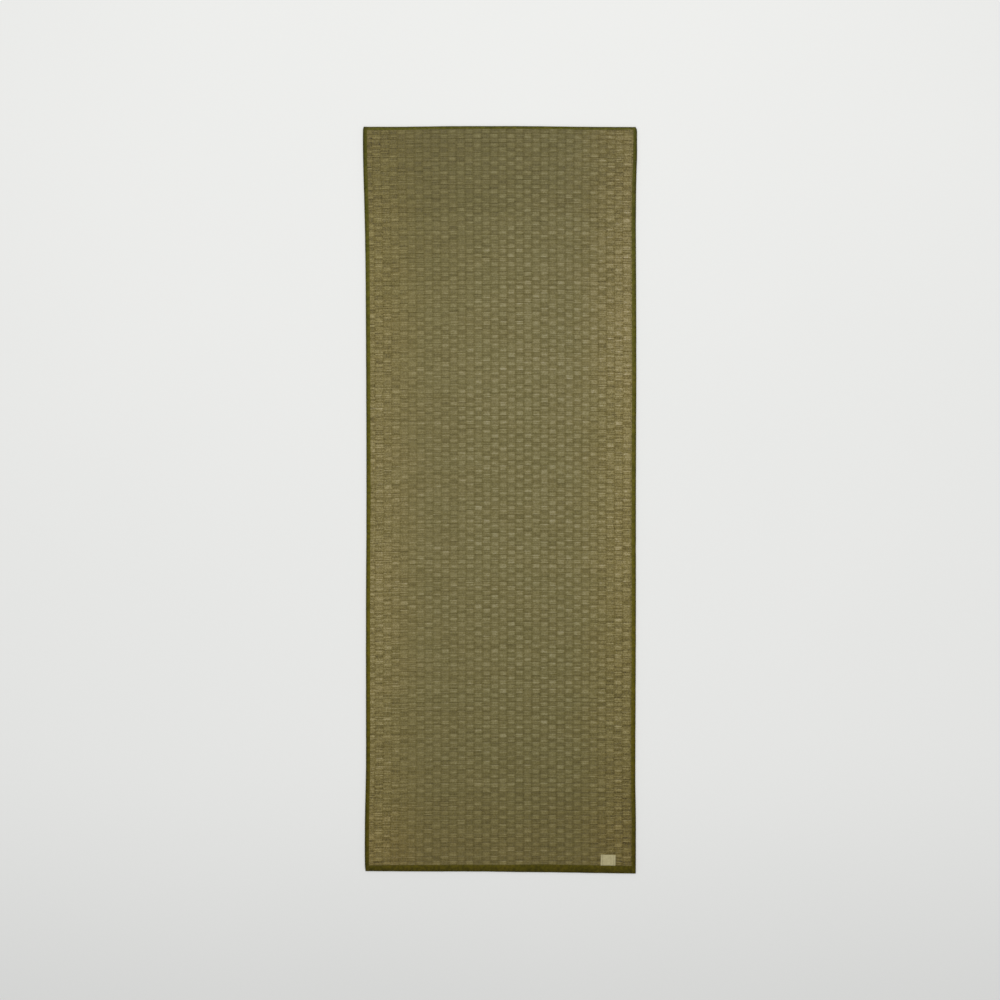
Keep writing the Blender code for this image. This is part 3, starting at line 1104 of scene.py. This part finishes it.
def swept(name, rings, material):
    """A closed strip from rings of points, one after another, with a face over each end."""
    rings = np.asarray(rings, float)
    count, around, _ = rings.shape
    index = np.arange(count * around).reshape(count, around)
    beside = np.roll(index, -1, axis=1)
    quads = np.stack([index[:-1], beside[:-1], beside[1:], index[1:]], -1).reshape(-1, 4)
    mesh = bpy.data.meshes.new(name)
    faces = quads.tolist() + [index[0][::-1].tolist(), index[-1].tolist()]
    mesh.from_pydata(rings.reshape(-1, 3).tolist(), [], faces)
    mesh.polygons.foreach_set("use_smooth", [True] * len(quads) + [False, False])
    mesh.materials.append(material)
    mesh.update()
    return add_object(name, mesh)


def make_side_tape(side, seed, material):
    """The tape round a long edge, with both ends tucked in."""
    tuck, squeeze, room = (list(column) for column in zip(*CLOSING_ROWS))
    tuck = np.array(tuck) * MM
    x = float(EDGE[side](0.0))
    low = float(EDGE["bottom"](x))
    high = float(EDGE["top"](x))
    inner = np.linspace(low + FULL_FROM, high - FULL_FROM, SIDE_STATIONS)
    stations = np.concatenate(
        [low + tuck, [low + CLOSED_BY], inner, [high - CLOSED_BY], (high - tuck)[::-1]]
    )
    full = [1.0] * (len(inner) + 2)
    heights = squeeze + full + squeeze[::-1]
    rooms = room + full + room[::-1]
    return make_tape(side, stations, heights, rooms, seed, material)


def make_end_tape(end, seed, material):
    """The tape round a short edge, between the two side tapes."""
    y = float(EDGE[end](0.0))
    low = float(inner_line("left", y)) + SEAM_GAP
    high = float(inner_line("right", y)) - SEAM_GAP
    stations = np.linspace(low, high, END_STATIONS)
    full = [1.0] * END_STATIONS
    return make_tape(end, stations, full, full, seed, material)


def make_tape(edge, stations, heights, rooms, seed, material):
    """The tape round an edge, from a section at each station along it. heights and rooms are
    the shares left of its height and inner space."""
    pucker = wander(stations, PUCKER, seed)
    lean = wander(stations, LEAN, seed + 1) + LEAN_MEAN
    stray = wander(stations, STRAY, seed + 2)
    hem = wander(stations, HEM, seed + 3)
    flipped = edge in ("left", "top")
    rings = []
    for i, station in enumerate(stations):
        outer = float(outer_line(edge, np.float64(station)))
        leaf = abs(float(inner_line(edge, station)) - outer) + hem[i]
        ring = []
        for depth, height in tape_ring(leaf, pucker[i], lean[i], rooms[i]):
            share = 1 - min(depth / leaf, 1.0)
            place = outer + INWARD[edge] * (depth + max(stray[i], 0.0) * share)
            height = HALF_HEIGHT + (height - HALF_HEIGHT) * heights[i]
            if edge in SIDES:
                ring.append((place, end_line(edge, place, station, stations), height))
            else:
                ring.append((butt_line(station, place, i, len(stations)), place, height))
        rings.append(ring[::-1] if flipped else ring)
    piece = swept("binding_tape_" + edge, rings, material)

    # What the material reads: the depth from the fold in the leaf, for its painted fold shade, and the
    # tape's own shade
    depths = [min(depth / LEAF_SHADE, 1.0) for depth, _ in tape_ring(LEAF_SHADE, 0.0, 0.0)]
    if flipped:
        depths = depths[::-1]
    shade = END_SHADE.get(edge, 1.0)
    point_vectors(piece, "tape", [(depth, shade, 0.0) for depth in depths * len(rings)])
    return piece


def end_line(side, x, station, stations):
    """Slants the ends of a side tape with the outline's short edges."""
    middle = float(EDGE[side](0.0))
    for end, tip in (("bottom", stations[0]), ("top", stations[-1])):
        slant = float(EDGE[end](x) - EDGE[end](middle))
        station = station + slant * max(0.0, 1 - abs(station - tip) / SLANT_REACH)
    return station


def butt_line(station, y, i, count):
    """Fits the ends of a short tape to the inner edges of the side tapes."""
    if i == 0:
        return float(inner_line("left", y)) + SEAM_GAP
    if i == count - 1:
        return float(inner_line("right", y)) - SEAM_GAP
    return station


def seam_ends(edge):
    """Where the stitches of an edge start and stop along it."""
    middle = EDGE[edge](0.0)
    if edge in SIDES:
        return EDGE["bottom"](middle) + SEAM_ENDS["side"], EDGE["top"](middle) - SEAM_ENDS["side"]
    return inner_line("left", middle) + SEAM_ENDS["end"], inner_line("right", middle) - SEAM_ENDS["end"]


def make_stitches(edge, seed, material):
    """A row of lockstitches on both faces of a tape, near its inner edge."""
    low, high = seam_ends(edge)
    middles = np.arange(float(low), float(high), STITCH_PITCH)
    sway = wander(middles, STITCH_SWAY, seed)
    line = inner_line(edge, middles) - INWARD[edge] * (STITCH_INSET + sway)
    points = []
    for face, outwards in ((STITCH_TOP, 1), (STITCH_BOTTOM, -1)):
        for step, width, sink in STITCH_RINGS:
            along = middles + step * STITCH_LENGTH
            for turn in 2 * math.pi * np.arange(STITCH_SIDES) / STITCH_SIDES:
                across = line + math.cos(turn) * STITCH_RADIUS * width
                up = face + math.sin(turn) * STITCH_RADIUS * width - outwards * sink * STITCH_RADIUS
                up = np.full_like(along, up)
                points.append(np.stack([across, along, up] if edge in SIDES else [along, across, up], -1))

    # From face, ring, turn and stitch to face, stitch, ring and turn
    rings = len(STITCH_RINGS)
    points = np.array(points).reshape(2, rings, STITCH_SIDES, len(middles), 3).transpose(0, 3, 1, 2, 4)
    index = np.arange(points.size // 3).reshape(2 * len(middles), rings, STITCH_SIDES)
    beside = np.roll(index, -1, axis=2)
    walls = np.stack([index[:, :-1], index[:, 1:], beside[:, 1:], beside[:, :-1]], -1).reshape(-1, 4)
    caps = np.concatenate([index[:, 0], index[:, -1, ::-1]])
    faces = np.concatenate([walls, caps])
    if edge in ENDS:
        faces = faces[:, ::-1]
    return mesh_object("binding_stitches_" + edge, points, faces, material)


def make_label(material):
    """The cream label, a thin cloth with soft folded edges, tucked in at the tape."""
    low, high = (Vector(corner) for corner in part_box("label"))
    middle = (low + high) / 2
    u = np.linspace(-1, 1, LABEL_COLUMNS)[None, :]
    w = np.linspace(-1, 1, LABEL_ROWS)[:, None]
    edge = np.maximum(np.abs(u), np.abs(w))
    rounding = smooth_step((edge - LABEL_ROUND_FROM) / (1 - LABEL_ROUND_FROM))
    thick = LABEL_THICKNESS * np.sqrt(np.clip(1 - rounding * 0.75, 0, 1))
    ripple = LABEL_RIPPLE * (np.sin(u * 4.1 + w * 2.0) + np.sin(w * 5.3 - u * 1.7))
    dip = LABEL_DIP * smooth_step((-w - LABEL_DIP_FROM) / (1 - LABEL_DIP_FROM))
    base = LABEL_UNDERSIDE + ripple + LABEL_HEM_RISE * (np.abs(u) > LABEL_HEM_FROM) - dip
    flat_x = u * LABEL_WIDTH / 2 + 0 * w
    flat_y = w * (LABEL_HEIGHT + LABEL_TUCK) / 2 + 0 * u - LABEL_TUCK / 2
    x = middle.x + flat_x * math.cos(LABEL_TURN) - flat_y * math.sin(LABEL_TURN)
    y = middle.y + flat_x * math.sin(LABEL_TURN) + flat_y * math.cos(LABEL_TURN)
    top = np.stack([x, y, base + thick], -1)
    bottom = np.stack([x, y, base], -1)
    return closed_slab("label_cloth", top, bottom, material)


def make_floor():
    bpy.ops.mesh.primitive_plane_add(size=FLOOR_SIZE, location=(0, 0, FLOOR_Z))
    floor = bpy.context.object
    floor.name = "floor"
    floor.data.materials.append(floor_material())
    return floor


def make_camera():
    camera = bpy.data.cameras.new("camera")
    camera.lens = LENS_MM
    camera.sensor_width = SENSOR_MM
    camera.sensor_fit = "HORIZONTAL"
    camera.clip_end = CLIP_END
    holder = add_object("camera", camera)
    holder.location = (0.0, AIM_Y, FRAME_WIDTH * LENS_MM / SENSOR_MM + SHEET_MIDDLE)
    bpy.context.scene.camera = holder


def make_light():
    world = bpy.data.worlds.new("studio")
    world.use_nodes = True
    background = world.node_tree.nodes["Background"]
    background.inputs["Color"].default_value = SKY_COLOUR
    background.inputs["Strength"].default_value = SKY_STRENGTH
    bpy.context.scene.world = world
    light = bpy.data.lights.new("overhead", "AREA")
    light.shape = "SQUARE"
    light.size = PANEL_SIDE
    light.energy = PANEL_POWER
    light.color = PANEL_COLOUR
    panel = add_object("overhead", light)
    panel.location = PANEL_PLACE
    aim = Vector(PANEL_AIM) - Vector(PANEL_PLACE)
    panel.rotation_euler = aim.to_track_quat("-Z", "Y").to_euler()
    panel.visible_camera = False
    bpy.context.scene.view_settings.view_transform = "Standard"


def claim(pieces, node):
    """Attaches pieces to the root body and hides the node of the frame that they stand for."""
    for piece in pieces:
        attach(piece, "root")
        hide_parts(node)


def dress_sheet():
    """The woven rush and its warp threads. Gives the slice at the bottom end."""
    slices = make_sheet(Weave(), rush_material())
    cotton = thread_material(*WARP)
    threads = [make_warp_threads(*values, cotton) for values in THREAD_SETS]
    claim(slices + threads, "rush_mat")
    width = float(outer_line("right", np.float64(0)) - outer_line("left", np.float64(0)))
    return slices[0]


def dress_bindings():
    """The four tapes and their stitches."""
    cotton = tape_material()
    thread = thread_material(*STITCH)
    for number, edge in enumerate(SIDES + ENDS):
        make = make_side_tape if edge in SIDES else make_end_tape
        tape = make(edge, TAPE_SEED + 10 * number, cotton)
        stitches = make_stitches(edge, STITCH_SEED + number, thread)
        leaf = float(LEAF[edge](0.0))
        claim((tape, stitches), "binding_" + edge)


def dress_label():
    """The label, attached with the other pieces to the root body."""
    label = make_label(label_material())
    claim([label], "label")


make_camera()
make_light()
floor = make_floor()
lowest_slice = dress_sheet()
dress_bindings()
dress_label()
